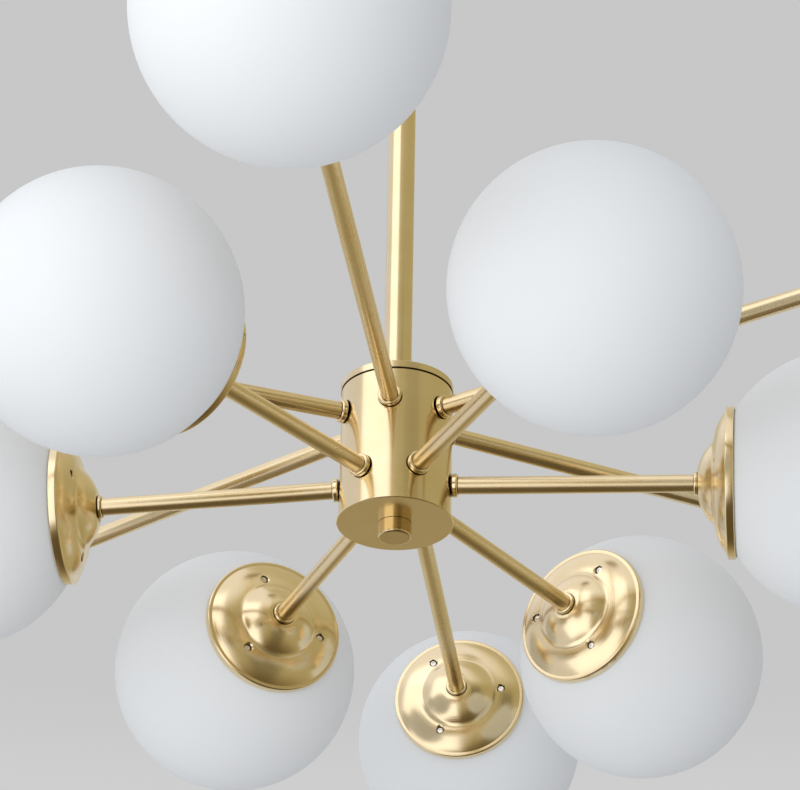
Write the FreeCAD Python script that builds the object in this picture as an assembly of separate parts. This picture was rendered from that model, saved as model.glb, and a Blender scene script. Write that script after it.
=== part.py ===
import FreeCAD, Part
import math
import os

# Twelve-globe bubble chandelier, hung from the ceiling on a rigid rod. Millimetres, +Z up,
# origin in the middle of the ceiling face. Arm azimuth 0 points to -Y and grows towards +X.

# Clearances
FIT = 0.15                 # between pieces that stay put on each other
RUN = 0.4                  # between pieces that move past each other
SEAT = 0.05                # behind a collar or nut drawn up on a curved wall

# Ceiling bracket
SLOT_SPACING = 80.0        # between the two ceiling screws
SLOT_LENGTH = 14.0
SLOT_WIDTH = 5.0
SLOT_MARGIN = 5.0          # steel left past a slot's end
BRACKET_WIDTH = 25.0
BRACKET_STEEL = 2.0
BRACKET_DROP = 10.0        # centre stands off the ceiling by this
BRACKET_FLAT = 48.0        # length of the dropped centre
BRACKET_SCREW_R = 1.5
BRACKET_SCREW_HEAD_R = 2.8
BRACKET_SCREW_HEAD = 2.0
BRACKET_SCREW_LENGTH = 8.0
BLOCK_WIDTH = 12.0
BLOCK_LENGTH = 24.0
BLOCK_HEIGHT = 10.0
BLOCK_POLES = 3
POLE_R = 2.0
POLE_DEPTH = 3.0
POLE_UP = 4.0              # pole holes above the block's underside
BLOCK_GAP = 3.0            # terminal block to the rod

# Canopy and its collar
CANOPY_ROOM = 5.3          # bracket corners to the canopy wall
CANOPY_WALL = 1.2
CANOPY_DEPTH = 28.0
CANOPY_ROUND = 8.0
CANOPY_COLLAR_WALL = 4.6
CANOPY_COLLAR_LENGTH = 12.0
GRUB_R = 2.0

# Rod and the threaded tubes in its ends
ROD_R = 8.0
ROD_WALL = 1.5
ROD_LENGTH = 433.6
PLUG_LENGTH = 12.0
STEM_R = 5.0
STEM_BORE_R = 3.4
STEM_GRIP = 10.0           # threaded tube inside a rod plug
NUT_THICK = 3.5
NUT_LAND = 1.5             # flat of a nut beside its thread
NIPPLE_PROUD = 2.0         # top tube past its upper nut

# Hub
HUB_R = 32.0
HUB_WALL = 1.6
HUB_FLOOR = 2.0
HUB_HEIGHT = 83.0
HUB_EDGE = 0.4
BASE_LIP = 1.2             # foot of the shell stands out by this
BASE_LIP_HEIGHT = 1.4
UPPER_TIER_DOWN = 18.0     # long arms below the shell's top edge
LOWER_TIER_UP = 23.0       # short arms above the shell's bottom
CAP_THICK = 4.4
CAP_LIP = 0.5              # cap overhangs the shell
CAP_EDGE = 0.5
REVEAL = 1.0               # dark line between cap and shell
REVEAL_DEPTH = 1.0
SPIGOT_DEPTH = 3.0
KNOB_R = 9.5
KNOB_LENGTH = 9.0
KNOB_EDGE = 1.3            # radius round the end face
KNOB_FACE = 2.0            # closed end of the knob
KNOB_GAP = 0.2

# Arms
ARMS_PER_TIER = 6
UPPER_REACH = 425.0        # rod axis to the centre of a globe
LOWER_REACH = 255.0
ARM_DROOP = 2.0            # degrees that the loaded arms hang below level
ARM_R = 5.0
ARM_BORE_R = 3.8
ARM_PROUD = 1.5            # tube past its lock nut in the hub
HUB_COLLAR_WALL = 1.75
HUB_COLLAR_LENGTH = 3.5
CUP_COLLAR_WALL = 1.8
CUP_COLLAR_LENGTH = 2.4
COLLAR_ROUND = 1.0

# Cups
CUP_R = 43.0
CUP_DEPTH = 20.9
CUP_WALL = 1.2
RIM_BAND = 5.0             # straight band round the open edge
RIM_EDGE = 0.4
RIM_ROUND = 1.0            # radius behind the band
RIM_STEP = 2.4             # band stands proud of the skirt
SKIRT_RISE = 6.6
SKIRT_BOW = 1.1
RIDGE_R = 26.0             # where the skirt ends
COVE_WIDTH = 3.6           # hollow curve between skirt and dome
COVE_RISE = 1.7
COVE_SAG = 0.33
DOME_BOW = 1.05
DOME_FLAT_R = 9.0
SCREWS_PER_CUP = 3
SCREW_R = 1.45
SCREW_HEAD_R = 2.2
SCREW_HEAD = 1.0
SCREW_SOCKET_R = 1.1
SCREW_SOCKET = 0.6
SCREW_FLOOR = 1.2          # metal under a screw head
SCREW_BOSS_WALL = 1.2
UPPER_CLOCK = 84.0         # degrees that the screws are turned round the arm
LOWER_CLOCK = 26.0
LOWER_CLOCK_STEP = 65.0    # further turn from one short arm to the next

# Globes, and the ring in each cup that grips one
GLOBE_R = 75.0
GLOBE_WALL = 2.5
GLOBE_SEAT = 0.4           # cup edge to the glass
MOUTH_R = 31.0
SEAL_WIDTH = 4.6
SEAL_LENGTH = 4.2
SEAL_ROUND = 1.0
SLEEVE_WALL = 1.1
SLEEVE_LENGTH = 4.8
FLANGE_LIP = 0.5           # flange wider than the mouth
FLANGE_GAP = 0.75          # flange to the edge of the glass
FLANGE_THICK = 1.3

# Lamps
HOLDER_R = 9.0
HOLDER_CAP_LENGTH = 5.0
HOLDER_LENGTH = 20.0
HOLDER_EDGE = 0.8
ARM_END_GAP = 0.3          # arm tube stops short of the ceramic
PIN_R = 1.0
PIN_SPACING = 9.0
PIN_LENGTH = 13.0
PIN_ROOM = 1.5             # hole deeper than the pin
BULB_R = 8.0
BULB_LENGTH = 43.0
BULB_NOSE = 5.0
BULB_NECK = 6.0            # collar next to the pins
BULB_NECK_STEP = 0.6

# Places down the rod axis
BRACKET_UNDER = -BRACKET_DROP - BRACKET_STEEL
ROD_TOP = BRACKET_UNDER - NUT_THICK
CAP_TOP = ROD_TOP - ROD_LENGTH
SHELL_TOP = CAP_TOP - CAP_THICK - REVEAL
SHELL_BOTTOM = SHELL_TOP - HUB_HEIGHT
CAP_BOTTOM = SHELL_TOP - SPIGOT_DEPTH

# Sizes that follow from those above
HUB_BORE_R = HUB_R - HUB_WALL
BRACKET_HALF = SLOT_SPACING / 2 + SLOT_LENGTH / 2 + SLOT_MARGIN
CANOPY_BORE_R = math.hypot(BRACKET_HALF, BRACKET_WIDTH / 2) + CANOPY_ROOM
CANOPY_R = CANOPY_BORE_R + CANOPY_WALL
DROOP_SINE = math.sin(math.radians(ARM_DROOP))
DROOP_COSINE = math.cos(math.radians(ARM_DROOP))
TIERS = {
    "upper": (SHELL_TOP - UPPER_TIER_DOWN + HUB_R * DROOP_SINE, 0.0, UPPER_REACH),
    "lower": (SHELL_BOTTOM + LOWER_TIER_UP + HUB_R * DROOP_SINE, 180.0 / ARMS_PER_TIER, LOWER_REACH),
}

# Places along an arm, measured outwards from the centre of its globe
CUP_EDGE = -math.sqrt((GLOBE_R + GLOBE_SEAT) ** 2 - (CUP_R - CUP_WALL) ** 2)
CUP_BACK = CUP_EDGE - CUP_DEPTH
MOUTH_EDGE = -math.sqrt(GLOBE_R ** 2 - MOUTH_R ** 2)
FLANGE_FRONT = MOUTH_EDGE - FLANGE_GAP
FLANGE_BACK = FLANGE_FRONT - FLANGE_THICK
SCREW_SEAT = FLANGE_BACK - SCREW_FLOOR
CUP_NUT = CUP_BACK + CUP_WALL
HOLDER_CAP_BACK = CUP_NUT + NUT_THICK
HOLDER_BACK = HOLDER_CAP_BACK + HOLDER_CAP_LENGTH
HOLDER_FRONT = HOLDER_BACK + HOLDER_LENGTH
BULB_BACK = HOLDER_FRONT + RUN
SEAL_R = MOUTH_R - RUN
SLEEVE_R = SEAL_R - SEAL_WIDTH - FIT
FLANGE_R = MOUTH_R + FLANGE_LIP
SCREW_CIRCLE_R = (SLEEVE_R + FLANGE_R) / 2

X_AXIS = FreeCAD.Vector(1, 0, 0)
Y_AXIS = FreeCAD.Vector(0, 1, 0)
Z_AXIS = FreeCAD.Vector(0, 0, 1)


def turned(outline, axis=X_AXIS):
    """Solid of revolution from corners (along, radius). A pair of corners is an arc: middle, end."""
    across = Z_AXIS if axis == X_AXIS else X_AXIS
    edges = []
    start = axis * outline[0][0] + across * outline[0][1]
    first = start
    for step in outline[1:]:
        corners = step if isinstance(step[0], tuple) else (step,)
        places = [axis * along + across * radius for along, radius in corners]
        if len(places) == 2:
            edges.append(Part.Arc(start, places[0], places[1]).toShape())
        else:
            edges.append(Part.makeLine(start, places[0]))
        start = places[-1]
    edges.append(Part.makeLine(start, first))
    return Part.Face(Part.Wire(edges)).revolve(FreeCAD.Vector(), axis, 360)


def ring(back, length, bore, radius, rounding, axis=X_AXIS):
    """Turned ring with a bore and rounded outer edges."""
    front = back + length
    cut = rounding * (1 - math.sqrt(0.5))
    return turned([
        (back, bore),
        (back, radius - rounding),
        ((back + cut, radius - cut), (back + rounding, radius)),
        (front - rounding, radius),
        ((front - cut, radius - cut), (front, radius - rounding)),
        (front, bore),
    ], axis)


def tube(back, front, bore, radius, axis=X_AXIS):
    """Plain tube between two places on its axis."""
    return turned([(back, bore), (back, radius), (front, radius), (front, bore)], axis)


def rod(back, front, radius, axis=X_AXIS):
    """Plain cylinder between two places on its axis."""
    return Part.makeCylinder(radius, front - back, axis * back, axis)


def nut(back, thread_r, axis=X_AXIS):
    """Hexagon lock nut on a threaded tube."""
    corner = nut_corner(thread_r)
    across = Z_AXIS if axis == X_AXIS else X_AXIS
    spots = []
    for turn in range(0, 361, 60):
        spots.append(axis * back + FreeCAD.Rotation(axis, turn).multVec(across) * corner)
    blank = Part.Face(Part.makePolygon(spots)).extrude(axis * NUT_THICK)
    return blank.cut(rod(back, back + NUT_THICK, thread_r + FIT, axis))


def nut_corner(thread_r):
    """Radius over the corners of a lock nut."""
    return (thread_r + NUT_LAND) / math.cos(math.pi / 6)


def bow(start, end, rise, inset=0.0):
    """Start, middle and end of an arc that bows outwards by rise, moved in by a wall."""
    chord = math.dist(start, end)
    radius = (chord ** 2 / 4 + rise ** 2) / (2 * rise)
    along = ((end[0] - start[0]) / chord, (end[1] - start[1]) / chord)
    out = (along[1], -along[0])
    centre = [(start[i] + end[i]) / 2 + out[i] * (rise - radius) for i in (0, 1)]
    middle = [centre[i] + out[i] * radius for i in (0, 1)]
    share = (radius - inset) / radius
    return [tuple(centre[i] + (spot[i] - centre[i]) * share for i in (0, 1)) for spot in (start, middle, end)]


def arm_placement(tier, number):
    """Frame of one arm: X runs outwards along the tube from the rod axis."""
    height, first, _ = TIERS[tier]
    azimuth = first + number * 360.0 / ARMS_PER_TIER
    turn = FreeCAD.Rotation(Z_AXIS, azimuth - 90).multiply(FreeCAD.Rotation(Y_AXIS, ARM_DROOP))
    return FreeCAD.Placement(Z_AXIS * height, turn)


def on_arm(shape, tier, number, reach=0.0):
    """Copy of a shape set on one arm, moved out by reach."""
    outwards = FreeCAD.Placement(X_AXIS * reach, FreeCAD.Rotation())
    copy = shape.copy()
    copy.Placement = arm_placement(tier, number).multiply(outwards).multiply(shape.Placement)
    return copy


def on_every_arm(shape, from_globe):
    """Copies of one shape on all the arms, placed from each globe or from the rod axis."""
    copies = []
    for tier, (_, _, reach) in TIERS.items():
        for number in range(ARMS_PER_TIER):
            copies.append(on_arm(shape, tier, number, reach if from_globe else 0.0))
    return copies


def screw_turns(tier, number):
    """Angles of a cup's screws round its arm."""
    clock = UPPER_CLOCK if tier == "upper" else LOWER_CLOCK + LOWER_CLOCK_STEP * number
    return [clock + 360.0 * screw / SCREWS_PER_CUP for screw in range(SCREWS_PER_CUP)]


def round_arm(shape, turn):
    """Copy of a shape turned round the arm's axis."""
    copy = shape.copy()
    copy.rotate(FreeCAD.Vector(), X_AXIS, turn)
    return copy


def screw_rod(back, front, radius):
    """Cylinder on the first screw's axis in a cup."""
    return Part.makeCylinder(radius, front - back, FreeCAD.Vector(back, 0, SCREW_CIRCLE_R), X_AXIS)


# Pieces at the ceiling

def ceiling_bracket():
    flat = BRACKET_FLAT / 2
    under = BRACKET_UNDER
    step = flat + BRACKET_STEEL
    half = [(flat, -BRACKET_DROP), (flat, 0), (BRACKET_HALF, 0), (BRACKET_HALF, -BRACKET_STEEL),
            (step, -BRACKET_STEEL), (step, under)]
    outline = half + [(-x, z) for x, z in reversed(half)]
    spots = [FreeCAD.Vector(x, -BRACKET_WIDTH / 2, z) for x, z in outline + outline[:1]]
    strip = Part.Face(Part.makePolygon(spots)).extrude(Y_AXIS * BRACKET_WIDTH)
    cuts = [rod(under, 0, STEM_R + FIT, Z_AXIS)]
    for side in (-1, 1):
        cuts.append(slot(side * SLOT_SPACING / 2))
        cuts.append(rod(under, 0, BRACKET_SCREW_R + FIT, Z_AXIS).translated(X_AXIS * side * block_x()))
    return strip.cut(cuts)


def slot(x):
    """Long hole for one ceiling screw."""
    end = (SLOT_LENGTH - SLOT_WIDTH) / 2
    deep = BRACKET_STEEL
    middle = Part.makeBox(2 * end, SLOT_WIDTH, deep, FreeCAD.Vector(x - end, -SLOT_WIDTH / 2, -deep))
    ends = [rod(-deep, 0, SLOT_WIDTH / 2, Z_AXIS).translated(X_AXIS * (x + s * end)) for s in (-1, 1)]
    return middle.fuse(ends)


def block_x():
    """Distance of the terminal block's middle, and of the earth screw, from the rod axis."""
    return ROD_R + BLOCK_GAP + BLOCK_WIDTH / 2


def bracket_screws():
    under_head = -BRACKET_DROP
    shank = rod(under_head - BRACKET_SCREW_LENGTH, under_head, BRACKET_SCREW_R, Z_AXIS)
    head = rod(under_head, under_head + BRACKET_SCREW_HEAD, BRACKET_SCREW_HEAD_R, Z_AXIS)
    screw = shank.fuse(head).removeSplitter()
    return [screw.translated(X_AXIS * side * block_x()) for side in (-1, 1)]


def terminal_block():
    bottom = BRACKET_UNDER - BLOCK_HEIGHT
    corner = FreeCAD.Vector(block_x() - BLOCK_WIDTH / 2, -BLOCK_LENGTH / 2, bottom)
    body = Part.makeBox(BLOCK_WIDTH, BLOCK_LENGTH, BLOCK_HEIGHT, corner)
    bore = rod(BRACKET_UNDER - BRACKET_SCREW_LENGTH, BRACKET_UNDER, BRACKET_SCREW_R + FIT, Z_AXIS)
    cuts = [bore.translated(X_AXIS * block_x())]
    for pole in range(BLOCK_POLES):
        y = (pole + 0.5) * BLOCK_LENGTH / BLOCK_POLES - BLOCK_LENGTH / 2
        mouth = FreeCAD.Vector(block_x() + BLOCK_WIDTH / 2, y, bottom + POLE_UP)
        cuts.append(Part.makeCylinder(POLE_R, POLE_DEPTH, mouth, X_AXIS * -1))
    return body.cut(cuts)


def canopy():
    outer = CANOPY_R - CANOPY_ROUND
    inner = CANOPY_ROUND - CANOPY_WALL
    turn = math.sqrt(0.5)
    start = -CANOPY_DEPTH + CANOPY_ROUND
    floor = -CANOPY_DEPTH + CANOPY_WALL
    hole = ROD_R + RUN
    return turned([
        (0, CANOPY_BORE_R),
        (0, CANOPY_R),
        (start, CANOPY_R),
        ((start - CANOPY_ROUND * turn, outer + CANOPY_ROUND * turn), (-CANOPY_DEPTH, outer)),
        (-CANOPY_DEPTH, hole),
        (floor, hole),
        (floor, outer),
        ((start - inner * turn, outer + inner * turn), (start, CANOPY_BORE_R)),
    ], Z_AXIS)


def grub_screw_rod(back, radius):
    """Cylinder across the canopy collar, from back to the collar's face."""
    height = -CANOPY_DEPTH - CANOPY_COLLAR_LENGTH / 2
    length = ROD_R + RUN + CANOPY_COLLAR_WALL - back
    return Part.makeCylinder(radius, length, FreeCAD.Vector(0, back, height), Y_AXIS)


def canopy_collar():
    back = -CANOPY_DEPTH - CANOPY_COLLAR_LENGTH
    bore = ROD_R + RUN
    body = ring(back, CANOPY_COLLAR_LENGTH, bore, bore + CANOPY_COLLAR_WALL, COLLAR_ROUND, Z_AXIS)
    return body.cut(grub_screw_rod(ROD_R, GRUB_R + FIT))


def canopy_grub_screw():
    return grub_screw_rod(ROD_R + RUN, GRUB_R)


# Rod, and what holds its ends

def down_rod():
    return tube(CAP_TOP, ROD_TOP, ROD_R - ROD_WALL, ROD_R, Z_AXIS)


def rod_plugs():
    radius = ROD_R - ROD_WALL - FIT
    backs = (ROD_TOP - PLUG_LENGTH, CAP_TOP)
    return [tube(back, back + PLUG_LENGTH, STEM_R + FIT, radius, Z_AXIS) for back in backs]


def threaded_tubes():
    top = -BRACKET_DROP + NUT_THICK + NIPPLE_PROUD
    bottom = SHELL_BOTTOM - KNOB_LENGTH + KNOB_FACE + RUN
    spans = ((ROD_TOP - STEM_GRIP, top), (bottom, CAP_TOP + STEM_GRIP))
    return [tube(back, front, STEM_BORE_R, STEM_R, Z_AXIS) for back, front in spans]


def stem_nuts():
    backs = (-BRACKET_DROP, ROD_TOP, CAP_BOTTOM - NUT_THICK, SHELL_BOTTOM + HUB_FLOOR)
    return [nut(back, STEM_R, Z_AXIS) for back in backs]


# Hub

def hub_cap():
    bore = STEM_R + FIT
    edge = HUB_R + CAP_LIP
    under = CAP_TOP - CAP_THICK
    reveal = HUB_R - REVEAL_DEPTH
    spigot = HUB_BORE_R - FIT
    return turned([
        (CAP_TOP, bore),
        (CAP_TOP, edge - CAP_EDGE),
        (CAP_TOP - CAP_EDGE, edge),
        (under, edge),
        (under, reveal),
        (SHELL_TOP, reveal),
        (SHELL_TOP, spigot),
        (CAP_BOTTOM, spigot),
        (CAP_BOTTOM, bore),
    ], Z_AXIS)


def hub_shell():
    floor = SHELL_BOTTOM + HUB_FLOOR
    bore = STEM_R + FIT
    lip = HUB_R + BASE_LIP
    lip_top = SHELL_BOTTOM + BASE_LIP_HEIGHT
    shell = turned([
        (SHELL_TOP, HUB_BORE_R),
        (SHELL_TOP, HUB_R),
        (lip_top, HUB_R),
        (lip_top - HUB_EDGE, lip),
        (SHELL_BOTTOM + HUB_EDGE, lip),
        (SHELL_BOTTOM, lip - HUB_EDGE),
        (SHELL_BOTTOM, bore),
        (floor, bore),
        (floor, HUB_BORE_R),
    ], Z_AXIS)
    return shell.cut(on_every_arm(rod(arm_start(), 2 * HUB_R, ARM_R + FIT), False))


def finial_knob():
    top = SHELL_BOTTOM - KNOB_GAP
    bottom = SHELL_BOTTOM - KNOB_LENGTH
    face = bottom + KNOB_FACE
    bore = STEM_R + RUN
    cut = KNOB_EDGE * (1 - math.sqrt(0.5))
    return turned([
        (top, bore),
        (top, KNOB_R),
        (bottom + KNOB_EDGE, KNOB_R),
        ((bottom + cut, KNOB_R - cut), (bottom, KNOB_R - KNOB_EDGE)),
        (bottom, 0),
        (face, 0),
        (face, bore),
    ], Z_AXIS)


# Arms

def hub_nut_face():
    """Outer face of a lock nut whose corners touch the hub's inner wall."""
    corner = nut_corner(ARM_R)
    return math.sqrt(HUB_BORE_R ** 2 - corner ** 2) - corner * DROOP_SINE - SEAT


def arm_start():
    """Inner end of an arm tube."""
    return hub_nut_face() - NUT_THICK - ARM_PROUD


def arm_tube(reach):
    return tube(arm_start(), reach + HOLDER_BACK - ARM_END_GAP, ARM_BORE_R, ARM_R)


def hub_collars():
    radius = ARM_R + HUB_COLLAR_WALL
    back = (HUB_R + radius * DROOP_SINE) / DROOP_COSINE + SEAT
    return on_every_arm(ring(back, HUB_COLLAR_LENGTH, ARM_R + FIT, radius, COLLAR_ROUND), False)


def cup_collars():
    back = CUP_BACK - CUP_COLLAR_LENGTH
    return on_every_arm(ring(back, CUP_COLLAR_LENGTH, ARM_R + FIT, ARM_R + CUP_COLLAR_WALL, COLLAR_ROUND), True)


def arm_locknuts():
    in_hub = on_every_arm(nut(hub_nut_face() - NUT_THICK, ARM_R), False)
    return in_hub + on_every_arm(nut(CUP_NUT, ARM_R), True)


# Cups and what each one holds

def cup_blank():
    """Spun cup before its screw seats: the outside as a solid, and the hollow in it."""
    band = CUP_EDGE - RIM_BAND
    ridge = (band - SKIRT_RISE, RIDGE_R)
    foot = (ridge[0] - COVE_RISE, RIDGE_R - COVE_WIDTH)
    flat = (CUP_BACK, DOME_FLAT_R)
    shoulder = (band, CUP_R - RIM_STEP)
    cut = RIM_ROUND * (1 - math.sqrt(0.5))
    skirt = bow(shoulder, ridge, SKIRT_BOW)
    cove = bow(foot, ridge, COVE_SAG)
    dome = bow(foot, flat, DOME_BOW)
    outside = turned([
        (CUP_EDGE, 0),
        (CUP_EDGE, CUP_R - RIM_EDGE),
        (CUP_EDGE - RIM_EDGE, CUP_R),
        (band + RIM_ROUND, CUP_R),
        ((band + cut, CUP_R - cut), (band, CUP_R - RIM_ROUND)),
        shoulder,
        (skirt[1], skirt[2]),
        (cove[1], foot),
        (dome[1], dome[2]),
        (CUP_BACK, 0),
    ])
    skirt = bow(shoulder, ridge, SKIRT_BOW, CUP_WALL)
    dome = bow(foot, flat, DOME_BOW, CUP_WALL)
    hollow = turned([
        (CUP_EDGE, 0),
        (CUP_EDGE, CUP_R - CUP_WALL),
        (skirt[0][0], CUP_R - CUP_WALL),
        skirt[0],
        (skirt[1], skirt[2]),
        dome[0],
        (dome[1], dome[2]),
        (dome[2][0], 0),
    ])
    return outside, hollow


def cup(blank, turns):
    """Cup with sunk screw seats at the given angles round the arm."""
    outside, hollow = blank
    boss = screw_rod(CUP_BACK, FLANGE_BACK, SCREW_HEAD_R + FIT + SCREW_BOSS_WALL)
    pocket = screw_rod(CUP_BACK, SCREW_SEAT, SCREW_HEAD_R + FIT)
    hole = screw_rod(SCREW_SEAT, FLANGE_BACK, SCREW_R + FIT)
    bosses = [round_arm(boss, turn).common(outside) for turn in turns]
    cuts = [round_arm(shape, turn) for turn in turns for shape in (pocket, hole)]
    cuts.append(rod(CUP_BACK, CUP_EDGE, ARM_R + FIT))
    return outside.cut(hollow).fuse(bosses).cut(cuts).removeSplitter()


def cups(tier):
    blank = cup_blank()
    reach = TIERS[tier][2]
    return [on_arm(cup(blank, screw_turns(tier, number)), tier, number, reach) for number in range(ARMS_PER_TIER)]


def cup_screws():
    shank = screw_rod(SCREW_SEAT, FLANGE_FRONT, SCREW_R)
    head = screw_rod(SCREW_SEAT - SCREW_HEAD, SCREW_SEAT, SCREW_HEAD_R)
    socket = screw_rod(SCREW_SEAT - SCREW_HEAD, SCREW_SEAT - SCREW_HEAD + SCREW_SOCKET, SCREW_SOCKET_R)
    screw = shank.fuse(head).removeSplitter().cut(socket)
    screws = []
    for tier, (_, _, reach) in TIERS.items():
        for number in range(ARMS_PER_TIER):
            for turn in screw_turns(tier, number):
                screws.append(on_arm(round_arm(screw, turn), tier, number, reach))
    return screws


def gallery_rings():
    front = FLANGE_FRONT + SLEEVE_LENGTH
    bore = SLEEVE_R - SLEEVE_WALL
    gallery = turned([
        (FLANGE_BACK, bore),
        (FLANGE_BACK, FLANGE_R),
        (FLANGE_FRONT, FLANGE_R),
        (FLANGE_FRONT, SLEEVE_R),
        (front, SLEEVE_R),
        (front, bore),
    ])
    hole = screw_rod(FLANGE_BACK, FLANGE_FRONT, SCREW_R + FIT)
    rings = []
    for tier, (_, _, reach) in TIERS.items():
        for number in range(ARMS_PER_TIER):
            drilled = gallery.cut([round_arm(hole, turn) for turn in screw_turns(tier, number)])
            rings.append(on_arm(drilled, tier, number, reach))
    return rings


def globe_seals():
    return on_every_arm(ring(FLANGE_FRONT, SEAL_LENGTH, SLEEVE_R + FIT, SEAL_R, SEAL_ROUND), True)


def globe():
    hollow = Part.makeSphere(GLOBE_R - GLOBE_WALL)
    return Part.makeSphere(GLOBE_R).cut([hollow, rod(-GLOBE_R, 0, MOUTH_R)])


# Lamps

def pins(back, length, radius):
    """Pair of cylinders on the lamp's pins."""
    spots = [FreeCAD.Vector(back, side * PIN_SPACING / 2, 0) for side in (-1, 1)]
    return [Part.makeCylinder(radius, length, spot, X_AXIS) for spot in spots]


def holder_caps():
    return on_every_arm(tube(HOLDER_CAP_BACK, HOLDER_BACK, ARM_R + FIT, HOLDER_R), True)


def lamp_holder():
    body = turned([
        (HOLDER_BACK, 0),
        (HOLDER_BACK, HOLDER_R),
        (HOLDER_FRONT - HOLDER_EDGE, HOLDER_R),
        (HOLDER_FRONT, HOLDER_R - HOLDER_EDGE),
        (HOLDER_FRONT, 0),
    ])
    depth = PIN_LENGTH + PIN_ROOM
    return body.cut(pins(HOLDER_FRONT - depth, depth, PIN_R + RUN))


def bulb():
    neck = BULB_BACK + BULB_NECK
    tip = BULB_BACK + BULB_LENGTH
    shoulder = tip - BULB_NOSE
    turn = math.sqrt(0.5)
    body = turned([
        (BULB_BACK, 0),
        (BULB_BACK, BULB_R - BULB_NECK_STEP),
        (neck, BULB_R - BULB_NECK_STEP),
        (neck, BULB_R),
        (shoulder, BULB_R),
        ((shoulder + BULB_NOSE * turn, BULB_R - BULB_NOSE * (1 - turn)), (tip, BULB_R - BULB_NOSE)),
        (tip, 0),
    ])
    return body.fuse(pins(BULB_BACK - PIN_LENGTH, PIN_LENGTH, PIN_R)).removeSplitter()


def write(name, shapes):
    """Write one node, a solid or a group of separate solids."""
    shape = Part.makeCompound(shapes) if isinstance(shapes, list) else shapes
    shape.exportStep("parts/" + name + ".step")


SINGLE_NODES = (
    ceiling_bracket, bracket_screws, terminal_block, canopy, canopy_collar, canopy_grub_screw,
    down_rod, rod_plugs, threaded_tubes, stem_nuts, hub_cap, hub_shell, finial_knob,
    hub_collars, cup_collars, arm_locknuts, cup_screws, gallery_rings, globe_seals, holder_caps,
)

os.makedirs("parts", exist_ok=True)
for make in SINGLE_NODES:
    write(make.__name__, make())
for tier, (_, _, reach) in TIERS.items():
    write(tier + "_cups", cups(tier))
    write(tier + "_lamp_holders", [on_arm(lamp_holder(), tier, n, reach) for n in range(ARMS_PER_TIER)])
    for number in range(ARMS_PER_TIER):
        label = "_" + str(number + 1)
        write(tier + "_arm" + label, on_arm(arm_tube(reach), tier, number))
        write(tier + "_globe" + label, on_arm(globe(), tier, number, reach))
        write(tier + "_bulb" + label, on_arm(bulb(), tier, number, reach))
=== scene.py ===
"""Looks of a bubble chandelier: brass, opal glass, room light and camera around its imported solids.

Sizes are in metres, in the frame of the solids: the origin is the middle of the ceiling face, +Z
is up, and an arm's azimuth is 0 towards -Y and grows towards +X. A piece at an arm's end is
modelled in the frame of that end: the globe's centre is the origin and +Z runs outwards along
the arm.
"""

import logging
import math
from dataclasses import dataclass
from enum import Enum
from typing import Callable, Dict, List, Optional, Sequence, Tuple, Union

import bmesh
import bpy
from mathutils import Matrix, Vector


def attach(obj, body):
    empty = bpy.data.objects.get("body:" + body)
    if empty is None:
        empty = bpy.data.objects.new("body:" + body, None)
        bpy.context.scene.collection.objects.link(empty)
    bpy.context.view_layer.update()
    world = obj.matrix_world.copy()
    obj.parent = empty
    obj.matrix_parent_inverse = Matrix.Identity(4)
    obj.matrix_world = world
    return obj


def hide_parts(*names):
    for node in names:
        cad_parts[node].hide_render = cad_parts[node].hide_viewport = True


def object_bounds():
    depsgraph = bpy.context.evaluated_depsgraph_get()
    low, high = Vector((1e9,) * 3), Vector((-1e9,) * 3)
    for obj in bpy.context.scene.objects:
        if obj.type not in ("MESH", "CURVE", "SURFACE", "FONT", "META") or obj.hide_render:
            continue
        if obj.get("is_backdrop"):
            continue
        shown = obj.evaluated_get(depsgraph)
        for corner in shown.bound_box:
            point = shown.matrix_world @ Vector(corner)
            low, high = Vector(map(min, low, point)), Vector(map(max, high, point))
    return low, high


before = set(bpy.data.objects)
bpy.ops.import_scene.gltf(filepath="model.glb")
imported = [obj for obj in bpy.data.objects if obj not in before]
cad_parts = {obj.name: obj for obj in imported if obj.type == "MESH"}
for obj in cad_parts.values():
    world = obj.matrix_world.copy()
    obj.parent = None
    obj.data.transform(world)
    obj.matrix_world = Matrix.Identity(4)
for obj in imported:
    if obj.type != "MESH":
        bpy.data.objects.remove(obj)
CAD_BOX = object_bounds()

LOG = logging.getLogger("chandelier")
ARMS_PER_TIER = 6
SCREWS_PER_CUP = 3
ARM_DROOP = math.radians(2.0)
HUB_HEIGHT = -0.5
FULL_TURN = 2 * math.pi
DEGREES = 180 / math.pi
SAME_POINT = 2e-6
SAME_HEIGHT = 1e-6
SEED_SIZE = 0.001

Color = Tuple[float, float, float]
Spot = Tuple[float, float]
Span = Tuple[float, float]
Operand = Union["Value", float]


class Tier(Enum):
    """The two rings of arms."""

    UPPER = ("upper", -0.47138, 0.0, 0.425)
    LOWER = ("lower", -0.51338, 30.0, 0.255)

    def __init__(self, label: str, height: float, first: float, reach: float) -> None:
        """Keeps the tier's sizes by name.

        Args:
            label: First word of the names of its pieces.
            height: Height of the arm axes at the rod.
            first: Azimuth of the first arm in degrees.
            reach: Distance along the arm from the rod to the globe's centre.
        """
        self.label = label
        self.height = height
        self.first = first
        self.reach = reach

    def names(self, piece: str) -> List[str]:
        """Names of one piece on all the arms."""
        return [f"{self.label}_{piece}_{number + 1}" for number in range(ARMS_PER_TIER)]

    def place(self, number: int) -> Matrix:
        """Frame of one arm's end.

        Args:
            number: The arm, counted from 0.

        Returns:
            The matrix from that frame to the frame of the solids.
        """
        turn = math.radians(self.first - 90.0) + number * FULL_TURN / ARMS_PER_TIER
        lean = Matrix.Rotation(math.pi / 2 + ARM_DROOP, 4, "Y")
        axis = Matrix.Translation((0, 0, self.height)) @ Matrix.Rotation(turn, 4, "Z") @ lean
        return axis @ Matrix.Translation((0, 0, self.reach))


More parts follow.
